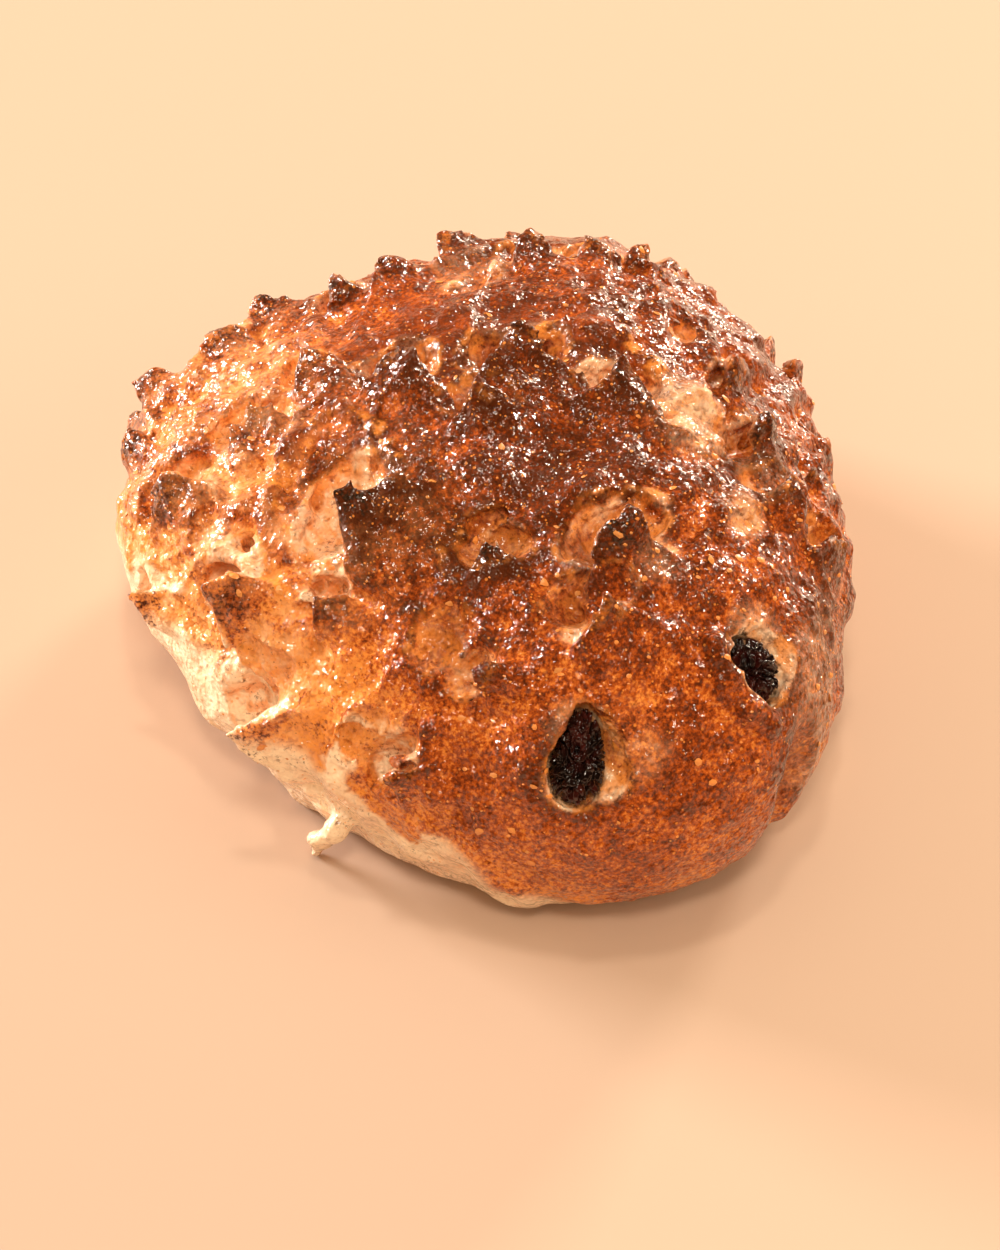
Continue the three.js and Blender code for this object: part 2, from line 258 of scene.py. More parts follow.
class CrustLook(bpy.types.PropertyGroup):
    """Colours of the crust, the raisins and the bran."""
    # Honey also paints the left flank paler, partly as painted light
    honey: colour_setting("Honey", "Thin crust over the cuts and pits", (0.80, 0.36, 0.14))
    golden: colour_setting("Golden", "Lightly baked crust", (0.76, 0.24, 0.042))
    amber: colour_setting("Amber", "Well baked crust", (0.44, 0.080, 0.009))
    # Brown also paints the shade in the crust's sunk hollows
    brown: colour_setting("Brown", "Dark crust of the crown", (0.20, 0.029, 0.003))
    scorched: colour_setting("Scorched", "Darkest crust, near the burnt ends", (0.075, 0.013, 0.0025))
    char: colour_setting("Char", "Burnt ends of the points", (0.024, 0.009, 0.004))
    dough: colour_setting("Dough", "Pale dough near the table and in the cuts", (0.93, 0.68, 0.46))
    crumb: colour_setting("Crumb", "Bare crumb in the palest hollows", (0.78, 0.54, 0.37))
    bran: colour_setting("Bran", "Bran flakes", (0.60, 0.22, 0.05))
    raisin: colour_setting("Raisin", "Skin of the raisins", (0.004, 0.0014, 0.0009))
    juice: colour_setting("Raisin red", "Red that shows through the raisin skin", (0.05, 0.006, 0.004))


class StageLook(bpy.types.PropertyGroup):
    """Camera, lights and floor."""
    azimuth: angle_setting("Azimuth", "Where the camera stands", -28)
    elevation: angle_setting("Elevation", "Height of the camera's view", 47)
    distance: distance_setting("Distance", "Camera to roll", 0.6)
    floor: colour_setting("Floor", "Colour of the floor", (0.485, 0.326, 0.241))
    window: bpy.props.FloatProperty(name="Window light", description="Power that each lamp takes a share of",
                                    subtype="POWER", default=40.0)
    room: bpy.props.FloatProperty(name="Room light", description="Strength of the even light of the room",
                                  default=0.88)


def sizes():
    return bpy.context.scene.roll_sizes


def looks():
    return bpy.context.scene.crust_look


def shape():
    """The roll's sizes in mm, by name."""
    group = sizes()
    lengths = ("width", "length", "crown", "waist", "swell", "point_width", "point_length", "point_lift",
               "grid")
    plain = ("foot", "taper", "squareness")
    return {**{n: getattr(group, n) / MM for n in lengths}, **{n: getattr(group, n) for n in plain}}


def dome_point(s, bearing, rise):
    """A point of the dome in mm, at a bearing from the snout and a rise above the waist in degrees."""
    around, angle = math.radians(bearing), math.radians(rise)
    x, y = math.sin(around), -math.cos(around)
    n = s["squareness"]
    reach = (abs(x) ** n + abs(y) ** n) ** (-1 / n)
    if rise >= 0:
        shrink = math.cos(angle)
        z = s["waist"] + (s["crown"] - s["waist"]) * math.sin(angle)
        swell = s["swell"] * math.sin(3 * around + 1) * math.sin(2 * angle)
    else:
        shrink = s["foot"] + (1 - s["foot"]) * math.cos(angle)
        z = s["waist"] * (1 + math.sin(angle))
        swell = 0
    scale = shrink + 2 * swell / s["width"]
    across = x * reach * (1 + s["taper"] * y * reach) * scale * s["width"] / 2
    return np.array([across, y * reach * scale * s["length"] / 2, z])


def dome_frame(s, bearing, rise, turn=0):
    """Place and axes on the dome: towards the side, towards the tail along the crust, out of the crust."""
    step = 0.2
    along = dome_point(s, bearing + step, rise) - dome_point(s, bearing - step, rise)
    up = dome_point(s, bearing, rise + step) - dome_point(s, bearing, rise - step)
    out = np.cross(along, up)
    out /= np.linalg.norm(out)
    tail = np.array([0.0, 1.0, 0.0]) - out[1] * out
    tail /= np.linalg.norm(tail)
    side = np.cross(tail, out)
    angle = math.radians(turn)
    turned_side = side * math.cos(angle) + tail * math.sin(angle)
    turned_tail = tail * math.cos(angle) - side * math.sin(angle)
    return dome_point(s, bearing, rise), np.array([turned_side, turned_tail, out])


def draws_from(seed):
    """Repeatable random numbers from 0 to 1, the same as those that place the far points of the solid."""
    state = seed
    while True:
        state = state * 16807 % 2147483647
        yield state / 2147483647


def snips():
    """Every snipped point as bearing, rise, size, turn, how burnt it is and how pale the cut behind it is."""
    draw = draws_from(SEED)
    found = list(SHOWN_POINTS)
    for rise, start, end, count, size in FAR_ROWS:
        for k in range(count):
            bearing = start + k * (end - start) / (count - 1) + FAR_JITTER * (2 * next(draw) - 1)
            height = rise + FAR_JITTER / 2 * (2 * next(draw) - 1)
            grown = size * (FAR_LEAST + FAR_SPREAD * next(draw))
            found.append((bearing, height, grown, FAR_TURN * (next(draw) - 0.5), *FAR_BAKE))
    return found


def spline_weights(places, spacing):
    """How much each knot of an even row counts at each place, for a smooth cubic blend."""
    steps = places / spacing
    base = np.floor(steps).astype(int)
    f = steps - base
    first = base.min() - 1
    weights = np.zeros((len(places), base.max() + 3 - first), np.float32)
    rows = np.arange(len(places))
    blends = ((1 - f) ** 3, 3 * f ** 3 - 6 * f ** 2 + 4, -3 * f ** 3 + 3 * f ** 2 + 3 * f + 1, f ** 3)
    for k, blend in enumerate(blends):
        weights[rows, base - 1 + k - first] = blend / 6
    return weights


def soft_noise(axes, spacing, seed):
    """Smooth random field over a block of space, about -2 to 2, with features of the spacing in mm."""
    spacing = np.broadcast_to(spacing, 3)
    weights = [spline_weights(a, d) for a, d in zip(axes, spacing)]
    knots = np.random.default_rng(seed).normal(0, 3, [w.shape[1] for w in weights]).astype(np.float32)
    part = np.tensordot(weights[0], knots, (1, 0))
    part = np.tensordot(part, weights[1], (1, 1))
    return np.tensordot(part, weights[2], (1, 1))


def smooth_low(a, b, k):
    """The lower of two fields with a fillet of about k mm."""
    h = np.maximum(k - np.abs(a - b), 0) / k
    return np.minimum(a, b) - h * h * k / 4


def smooth_high(a, b, k):
    return -smooth_low(-a, -b, k)


def smooth_step(low, high, value):
    t = np.clip((value - low) / (high - low), 0, 1)
    return t * t * (3 - 2 * t)


def ellipsoid(x, y, z, half):
    """Distance to an ellipsoid, good near its surface."""
    q = np.sqrt((x / half[0]) ** 2 + (y / half[1]) ** 2 + (z / half[2]) ** 2) + 1e-6
    slope = np.sqrt((x / half[0] ** 2) ** 2 + (y / half[1] ** 2) ** 2 + (z / half[2] ** 2) ** 2) / q + 1e-6
    return (q - 1) / slope


def largest_part(points, faces):
    """The biggest connected part of a mesh, without crumbs that hang in the air."""
    label = np.arange(len(points))
    while True:
        least = label[faces].min(axis=1)
        spread = label.copy()
        np.minimum.at(spread, faces.ravel(), np.repeat(least, faces.shape[1]))
        spread = spread[spread]
        if np.array_equal(spread, label):
            break
        label = spread
    kept = label == np.bincount(label).argmax()
    number = np.cumsum(kept) - 1
    return points[kept], number[faces[kept[faces[:, 0]]]]


class Block:
    """A block of space around the roll that holds the distance to its surface in mm, below zero inside."""

    def __init__(self, low, high, step):
        self.step = step
        self.low = np.array(low, float)
        self.axes = [np.arange(a, b + step, step, dtype=np.float32) for a, b in zip(low, high)]
        grid = np.meshgrid(*self.axes, indexing="ij", copy=False)
        self.places = [g.astype(np.float32) for g in grid]
        self.value = np.full(self.places[0].shape, 9, np.float32)
        self.cut = self.value.copy()
        self.lid = self.value.copy()
        self.crest = self.value.copy()
        self.pale = np.zeros(self.value.shape, np.float32)

    def noise(self, spacing, seed):
        return soft_noise(self.axes, spacing, seed)

    def rough(self, name, *shares):
        """A kind of unevenness in mm, times its shares."""
        amount, spacing, seed = ROUGHNESS[name]
        for share in shares:
            amount = amount * share
        return amount * self.noise(spacing, seed)

    def warp(self, amount, spacing, seed):
        """Shifts the places at random, so that everything shaped after this comes out uneven."""
        for k in range(3):
            self.places[k] = self.places[k] + amount * self.noise(spacing, seed + k)

    def near(self, centre, reach):
        """The part of the block within reach of a centre, as slices."""
        start = np.floor((centre - reach - self.low) / self.step).astype(int)
        end = np.ceil((centre + reach - self.low) / self.step).astype(int) + 1
        return tuple(slice(max(a, 0), min(b, n)) for a, b, n in zip(start, end, self.value.shape))

    def local(self, part, place, axes):
        """Coordinates of a part of the block in a frame on the dome."""
        offset = [p[part] - c for p, c in zip(self.places, place)]
        return [sum(o * float(a) for o, a in zip(offset, axis)) for axis in axes]

    def sample(self, field, points):
        """Values of a field at points, blended between grid places."""
        steps = np.clip((points - self.low) / self.step, 0, np.array(field.shape) - 1.001)
        base = steps.astype(int)
        f = steps - base
        total = 0
        for corner in np.ndindex(2, 2, 2):
            weight = np.prod([f[:, i] if c else 1 - f[:, i] for i, c in enumerate(corner)], axis=0)
            total = total + weight * field[tuple((base + corner).T)]
        return total

    def skin(self):
        """Points in mm and quads of the surface where the distance is zero."""
        grid = openvdb.FloatGrid(3.0)
        grid.copyFromArray(np.ascontiguousarray(np.clip(self.value, -3, 3)))
        points, quads = grid.convertToQuads(isovalue=0.0)
        return largest_part(points * self.step + self.low, quads.astype(int))


def beside(block, part, a, b):
    """How far along the line from a to b each place lies, as a share, and how far from it in mm."""
    offset = [p[part] - c for p, c in zip(block.places, a)]
    line = b - a
    along = np.clip(sum(o * d for o, d in zip(offset, line)) / (line @ line), 0, 1)
    return along, np.sqrt(sum((o - along * d) ** 2 for o, d in zip(offset, line)))


def raise_dome(block, s):
    """The dome of dough, with a flat foot."""
    x, y, z = block.places
    py = y / (s["length"] / 2)
    px = x / (s["width"] / 2)
    # the taper acts on the outline, so the share of the outline is found in a few turns
    rho = np.sqrt(px ** 2 + py ** 2) + 1e-3
    for _ in range(6):
        rho = (np.abs(px / (1 + s["taper"] * py / rho)) ** s["squareness"]
               + np.abs(py) ** s["squareness"]) ** (1 / s["squareness"]) + 1e-3
    around = np.arctan2(px, -py)
    up = np.clip((z - s["waist"]) / (s["crown"] - s["waist"]), 0, 3)
    down = np.clip(1 - z / s["waist"], 0, 1)
    angle = np.arctan2(up, rho)
    swell = s["swell"] * np.sin(3 * around + 1) * np.sin(2 * angle)
    upper = np.sqrt(np.maximum(rho - 2 * swell / s["width"], 0) ** 2 + up ** 2) - 1
    lower = rho - (s["foot"] + (1 - s["foot"]) * np.sqrt(1 - down ** 2))
    share = np.where(z >= s["waist"], upper, lower)
    slope = np.sqrt(sum(g ** 2 for g in np.gradient(share, block.step))) + 1e-4
    block.value = np.clip(share / slope, -8, 9).astype(np.float32)


def hollow_out(block, part, hollow, pale, edge):
    """Takes a hollow out of the dough and notes where its walls are and how pale they are."""
    block.value[part] = smooth_high(block.value[part], -hollow, edge)
    closer = hollow < block.cut[part]
    block.pale[part] = np.where(closer, pale, block.pale[part])
    block.cut[part] = np.minimum(block.cut[part], hollow)


def cut_snip(block, s, snip):
    """The wide cut behind a point, deepest under the point's end."""
    bearing, rise, size, turn, _, pale = snip
    place, axes = dome_frame(s, bearing, rise, turn)
    part = block.near(place, 20 * size)
    x, y, z = block.local(part, place, axes)
    y = y - CUT_PLACE * size
    turn_y, turn_z = math.cos(CUT_TILT), math.sin(CUT_TILT)
    y, z = y * turn_y + z * turn_z, z * turn_y - y * turn_z
    across, along, deep = CUT_SIZE
    hollow = ellipsoid(x, y, z, (across * size, along * size, deep * math.sqrt(size)))
    hollow_out(block, part, hollow, pale, CUT_FILLET)


def dig_pit(block, s, pit):
    bearing, rise, turn, half, pale = pit
    place, axes = dome_frame(s, bearing, rise, turn)
    part = block.near(place, max(half) + 4)
    hollow_out(block, part, ellipsoid(*block.local(part, place, axes), half), pale, PIT_FILLET)


def raise_ridge(block, s, ridge):
    """A thin ridge that follows the crust."""
    stops, radius = ridge
    points = np.array([dome_point(s, *stop) for stop in stops])
    for a, b in zip(points, points[1:]):
        part = block.near((a + b) / 2, np.linalg.norm(b - a) / 2 + 4)
        _, away = beside(block, part, a, b)
        block.value[part] = smooth_low(block.value[part], away - radius, RIDGE_FILLET)
        block.crest[part] = np.minimum(block.crest[part], away - radius)


def raise_snip(block, s, snip):
    """The point: a three-sided flap whose front carries the crust on up to a blunt end over the cut."""
    bearing, rise, size, turn = snip[:4]
    place, axes = dome_frame(s, bearing, rise, turn)
    part = block.near(place, 14 * size + 3)
    x, y, z = block.local(part, place, axes)
    length, lift, half = s["point_length"] * size, s["point_lift"] * size, s["point_width"] / 2 * size
    start = POINT_START * length
    t = np.clip((y - start) / (length - start), 0, 1)
    fall = POINT_ROOF * size if size < FLAT_FROM else FLAT_ROOF
    front = (lift + POINT_SUNK) * t ** POINT_BEND - POINT_SUNK - fall * (np.abs(x) / half) ** ROOF_BEND
    # each slope is scaled to stay close to a distance
    top = (z - front) * 0.86
    reach = smooth_low(half + 0 * y, POINT_CORNER + (length - y), 2)
    sides = (np.abs(x) - reach) * 0.74
    under = (front - (max(THINNEST_END, 1.5 - size) + POINT_ROOT * size * (1 - t)) - z) * 0.8
    ends = np.maximum(y - length, start - y)
    wedge = smooth_high(smooth_high(top, sides, 0.35), smooth_high(under, ends, 0.35), 0.4)
    block.value[part] = smooth_low(block.value[part], wedge, POINT_FILLET)
    block.lid[part] = np.minimum(block.lid[part], np.maximum(np.abs(top) - 0.7, sides - 0.3))


def carve_eye(block, s, node):
    """The pocket of a raisin and its opening."""
    bearing, rise, lean, half = EYES[node]
    place, axes = dome_frame(s, bearing, rise, lean)
    place = place - axes[2] * EYE_SINK
    part = block.near(place, 16)
    x, y, z = block.local(part, place, axes)
    half = [h + POCKET_CLEARANCE for h in half]
    x = x / (1 - EYE_TAPER[node] * np.clip(y / half[1], -1, 1))
    room = ellipsoid(x, y, z, half)
    x, z = x - POCKET_OPENING, z - OPENING_CLIMB * POCKET_OPENING
    turn_x, turn_z = math.cos(OPENING_TILT), math.sin(OPENING_TILT)
    x, z = x * turn_x - z * turn_z, z * turn_x + x * turn_z
    opening = ellipsoid(x, y, z, (half[0], OPENING_LENGTH * half[1], half[2]))
    pocket = smooth_low(room, opening, PIT_FILLET)
    hollow_out(block, part, pocket, 1, CUT_FILLET)


def press_crease(block, s):
    bearing, rise, half = CREASE
    place, axes = dome_frame(s, bearing, rise)
    part = block.near(place, 18)
    groove = ellipsoid(*block.local(part, place, axes), half)
    block.value[part] = smooth_high(block.value[part], -groove, CREASE_FILLET)


def hang_spur(block):
    """A string of dough that hangs from the near side down to the table."""
    path = np.array(SPUR_PATH, float)
    part = block.near(path.mean(0), 14)
    for k, (a, b) in enumerate(zip(path, path[1:])):
        along, away = beside(block, part, a, b)
        share = (k + along) / (len(path) - 1)
        string = away - (SPUR_ROOT + (SPUR_END - SPUR_ROOT) * share)
        block.value[part] = smooth_low(block.value[part], string, SPUR_FILLET)


def shape_roll(s):
    """The whole roll as a field, from the slow forms to the fine ones."""
    margin, below = 8, -2
    reach = (s["width"] / 2 + margin, s["length"] / 2 + margin, s["crown"] + margin)
    block = Block((-reach[0], -reach[1], below), reach, s["grid"])
    still = list(block.places)
    # the snout is smoother than the rest
    uneven = 0.35 + 0.65 * smooth_step(-52, -38, still[1])
    for amount, spacing, seed in WARPS:
        block.warp(amount * uneven, spacing, seed)
    raise_dome(block, s)
    block.value += block.rough("lumps", uneven)
    for snip in snips():
        cut_snip(block, s, snip)
    for pit in PITS:
        dig_pit(block, s, pit)
    press_crease(block, s)
    for ridge in RIDGES:
        raise_ridge(block, s, ridge)
    for snip in snips():
        raise_snip(block, s, snip)
    for node in EYES:
        carve_eye(block, s, node)
    raise_ridge(block, s, EYE_FOLD)
    block.crest[:] = np.where(still[1] < -25, 9, block.crest)
    hang_spur(block)
    wall = 1 - smooth_step(0, 0.8, block.cut)
    fine = 0.5 + 0.5 * uneven
    block.value += fine * (block.rough("grain") + block.rough("fine grain"))
    # sharp little folds, deepest on the crown and in the cuts, and hardly any on the smooth face
    folds = np.maximum(1 - np.abs(block.noise(5, 37)) * 1.6, 0) ** 2
    strands = np.maximum(1 - np.abs(block.noise((2.6, 3.4, 2.2), 38)) * 1.7, 0) ** 2
    crown = smooth_step(16, 34, still[2]) * smooth_step(-46, -30, still[1])
    block.value -= (0.15 + 0.5 * crown) * folds + 0.6 * wall * strands
    shoulder = smooth_step(8, 22, still[0]) * smooth_step(14, 26, still[2])
    shoulder *= smooth_step(40, 10, np.abs(still[1]))
    block.value += block.rough("shoulder", shoulder)
    flank = smooth_step(-20, -34, still[0]) * smooth_step(16, 26, still[2]) * smooth_step(-16, -2, still[1])
    block.value += block.rough("flank", flank)
    rump = smooth_step(6, 26, still[1]) * smooth_step(40, 28, still[2]) * smooth_step(-34, -16, still[0])
    block.value += block.rough("rump", rump, smooth_step(5, 12, still[2]))
    block.value = np.maximum(block.value, -still[2])
    return block


def new_object(name, points, faces):
    """An object with smooth faces, from points in mm in the dome's own frame."""
    mesh = bpy.data.meshes.new(name)
    mesh.from_pydata(((points - MIDDLE) * MM).tolist(), [], np.asarray(faces).tolist())
    mesh.polygons.foreach_set("use_smooth", [True] * len(mesh.polygons))
    mesh.update()
    piece = bpy.data.objects.new(name, mesh)
    bpy.context.scene.collection.objects.link(piece)
    return piece


def apply_modifiers(piece):
    """Turns a piece's modifiers into its mesh."""
    graph = bpy.context.evaluated_depsgraph_get()
    mesh = bpy.data.meshes.new_from_object(piece.evaluated_get(graph))
    piece.modifiers.clear()
    old = piece.data
    piece.data = mesh
    mesh.name = piece.name
    bpy.data.meshes.remove(old)


def thin_out(piece, most):
    """Joins the flattest triangles until no more than the given number are left."""
    triangles = sum(len(p.vertices) - 2 for p in piece.data.polygons)
    if triangles > most:
        fewer = piece.modifiers.new("fewer", "DECIMATE")
        fewer.ratio = most / triangles
        apply_modifiers(piece)
        piece.data.polygons.foreach_set("use_smooth", [True] * len(piece.data.polygons))


def vertices_of(piece):
    """The vertices of a piece in mm in the dome's own frame."""
    flat = np.empty(len(piece.data.vertices) * 3, np.float32)
    piece.data.vertices.foreach_get("co", flat)
    return flat.reshape(-1, 3) / MM + MIDDLE


def add_mask(piece, name, values):
    attribute = piece.data.attributes.new(name, "FLOAT", "POINT")
    attribute.data.foreach_set("value", np.asarray(values, np.float32))


def blurred(field, steps):
    """The field averaged twice over a few grid steps each way."""
    for _ in range(2):
        for axis in range(3):
            total = np.cumsum(field, axis=axis, dtype=np.float64)
            row, last = np.arange(field.shape[axis]), field.shape[axis] - 1
            ahead = np.take(total, np.clip(row + steps, 0, last), axis)
            behind = np.take(total, np.clip(row - steps, 0, last), axis)
            field = ((ahead - behind) / (2 * steps)).astype(np.float32)
    return field


def mark_crust(piece, block, s):
    """Masks that the crust's material reads, such as burnt ends, cut walls, rims, ridges and pale dough."""
    points = vertices_of(piece)
    lid = 1 - smooth_step(-0.1, 0.5, block.sample(block.lid, points))
    char = np.zeros(len(points))
    toast = char.copy()
    for bearing, rise, size, turn, burnt, _ in snips():
        place, axes = dome_frame(s, bearing, rise, turn)
        end = place + axes[1] * s["point_length"] * size + axes[2] * s["point_lift"] * size
        away = np.linalg.norm(points - end, axis=1)
        char = np.maximum(char, (1 - smooth_step(0.5 + 2 * size, 3 + 5.5 * size, away)) * burnt * lid)
        toast = np.maximum(toast, (1 - smooth_step(2 * size, 12 * size, away)) * (0.2 + 0.8 * burnt) * lid)
    add_mask(piece, "char", char)
    add_mask(piece, "toast", toast)
    cut = block.sample(block.cut, points)
    wall = (1 - smooth_step(-0.1, 0.5, cut)) * (1 - lid)
    add_mask(piece, "wall", wall)
    rim = smooth_step(-0.9, -0.1, cut) * (1 - smooth_step(0.1, 0.9, cut)) * (1 - 0.6 * lid)
    crest = 1 - smooth_step(0.1, 0.7, block.sample(block.crest, points))
    add_mask(piece, "rim", np.maximum(rim, 1.3 * crest))
    add_mask(piece, "proud", block.sample(blurred(np.clip(block.value, -3, 3), 4), points))
    # how far each place sinks among its neighbours, which the material uses for painted shade in the hollows,
    # along with deeper baking
    add_mask(piece, "sunk", block.sample(blurred(np.clip(block.value, -5, 5), 10), points))
    pale = block.sample(block.pale, points) * wall
    for bearing, rise, reach, strength in PALE_PATCHES:
        away = np.linalg.norm(points - dome_point(s, bearing, rise), axis=1)
        patch = strength * (1 - smooth_step(0.45 * reach, 1.25 * reach, away))
        pale = np.maximum(pale, patch * (1 - 0.8 * lid))
    bearing = np.degrees(np.arctan2(points[:, 0], -points[:, 1]))
    line = np.interp(bearing, *np.array(DOUGH_LINE, float).T)
    low = points[:, 2] - line + 1.6 * block.sample(block.noise(5, 51), points)
    add_mask(piece, "pale", pale)
    add_mask(piece, "under", 1 - smooth_step(-2.2, 2.2, low + 9 * lid))
    add_mask(piece, "low", 1 - smooth_step(1, 11, low))
    behind = smooth_step(-36, -16, points[:, 1])
    add_mask(piece, "snout", smooth_step(-22, -36, points[:, 1]) * smooth_step(40, 30, points[:, 2]))
    tail = smooth_step(0, 36, points[:, 1])
    right = smooth_step(12, 34, points[:, 0])
    top = smooth_step(22, 46, points[:, 2]) * (0.25 + 0.75 * behind)
    add_mask(piece, "top", top * (1 - 0.75 * tail) * (1 - 0.6 * right))
    # the left flank, which the material paints paler: partly painted light from the left window, partly
    # thinner crust
    flank = smooth_step(-6, -28, points[:, 0]) * smooth_step(-24, -4, points[:, 1])
    add_mask(piece, "flank", flank * smooth_step(58, 36, points[:, 2]) * (1 - toast))
    add_mask(piece, "film", smooth_step(-14, 10, points[:, 1]) * (1 - lid))


class Nodes:
    """A short way to write a material's node tree."""

    def __init__(self, name):
        self.material = bpy.data.materials.new(name)
        self.material.use_nodes = True
        self.tree = self.material.node_tree
        self.shader = self.tree.nodes["Principled BSDF"]
        place = self.add("ShaderNodeTexCoord")
        self.place = place.outputs["Object"]

    def add(self, kind, inputs=None, **settings):
        node = self.tree.nodes.new(kind)
        for name, value in settings.items():
            setattr(node, name, value)
        for name, value in (inputs or {}).items():
            self.feed(node.inputs[name], value)
        return node

    def feed(self, socket, value):
        if isinstance(value, bpy.types.NodeSocket):
            self.tree.links.new(value, socket)
        elif socket.type == "RGBA":
            socket.default_value = (*value, 1)
        else:
            socket.default_value = value

    def mask(self, name):
        return self.add("ShaderNodeAttribute", attribute_name=name).outputs["Fac"]

    def noise(self, scale_mm, detail=4, rough=0.55, warp=0):
        node = self.add("ShaderNodeTexNoise", {"Vector": self.place, "Scale": 1 / (scale_mm * MM),
                                               "Detail": detail, "Roughness": rough, "Distortion": warp})
        return node.outputs["Fac"]

    def cells(self, scale_mm, feature="F1"):
        node = self.add("ShaderNodeTexVoronoi", {"Vector": self.place, "Scale": 1 / (scale_mm * MM)})
        node.feature = feature
        return node.outputs["Distance"]

    def facets(self, size_mm):
        """Height of small flat facets that each lean a random way, as a share of their size."""
        cell = self.add("ShaderNodeTexVoronoi", {"Vector": self.place, "Scale": 1 / (size_mm * MM)})
        away = self.vector_math("SUBTRACT", self.place, cell.outputs["Position"]).outputs[0]
        lean = self.vector_math("SUBTRACT", cell.outputs["Color"], (0.5, 0.5, 0.5)).outputs[0]
        height = self.vector_math("DOT_PRODUCT", away, lean).outputs["Value"]
        return self.math("MULTIPLY", height, 1 / (size_mm * MM))

    def vector_math(self, kind, a, b):
        return self.add("ShaderNodeVectorMath", {0: a, 1: b}, operation=kind)

    def span(self, value, low, high, to_low=0, to_high=1):
        node = self.add("ShaderNodeMapRange", {"Value": value, "From Min": low, "From Max": high,
                                               "To Min": to_low, "To Max": to_high})
        node.interpolation_type = "SMOOTHSTEP"
        return node.outputs["Result"]

    def math(self, kind, a, b=0.0):
        node = self.add("ShaderNodeMath", operation=kind)
        self.feed(node.inputs[0], a)
        self.feed(node.inputs[1], b)
        return node.outputs[0]

    def blend(self, share, a, b):
        node = self.add("ShaderNodeMix", data_type="RGBA")
        self.feed(node.inputs[0], share)
        self.feed(node.inputs[6], a)
        self.feed(node.inputs[7], b)
        return node.outputs[2]

    def bump(self, height, depth_mm, under=None):
        inputs = {"Height": height, "Distance": depth_mm * MM, "Strength": 1.0}
        if under is not None:
            inputs["Normal"] = under
        return self.add("ShaderNodeBump", inputs).outputs["Normal"]

    def finish(self, colour, roughness, normal):
        self.feed(self.shader.inputs["Base Color"], colour)
        self.feed(self.shader.inputs["Roughness"], roughness)
        self.feed(self.shader.inputs["Normal"], normal)
        self.feed(self.shader.inputs["Coat Normal"], normal)
        return self.material


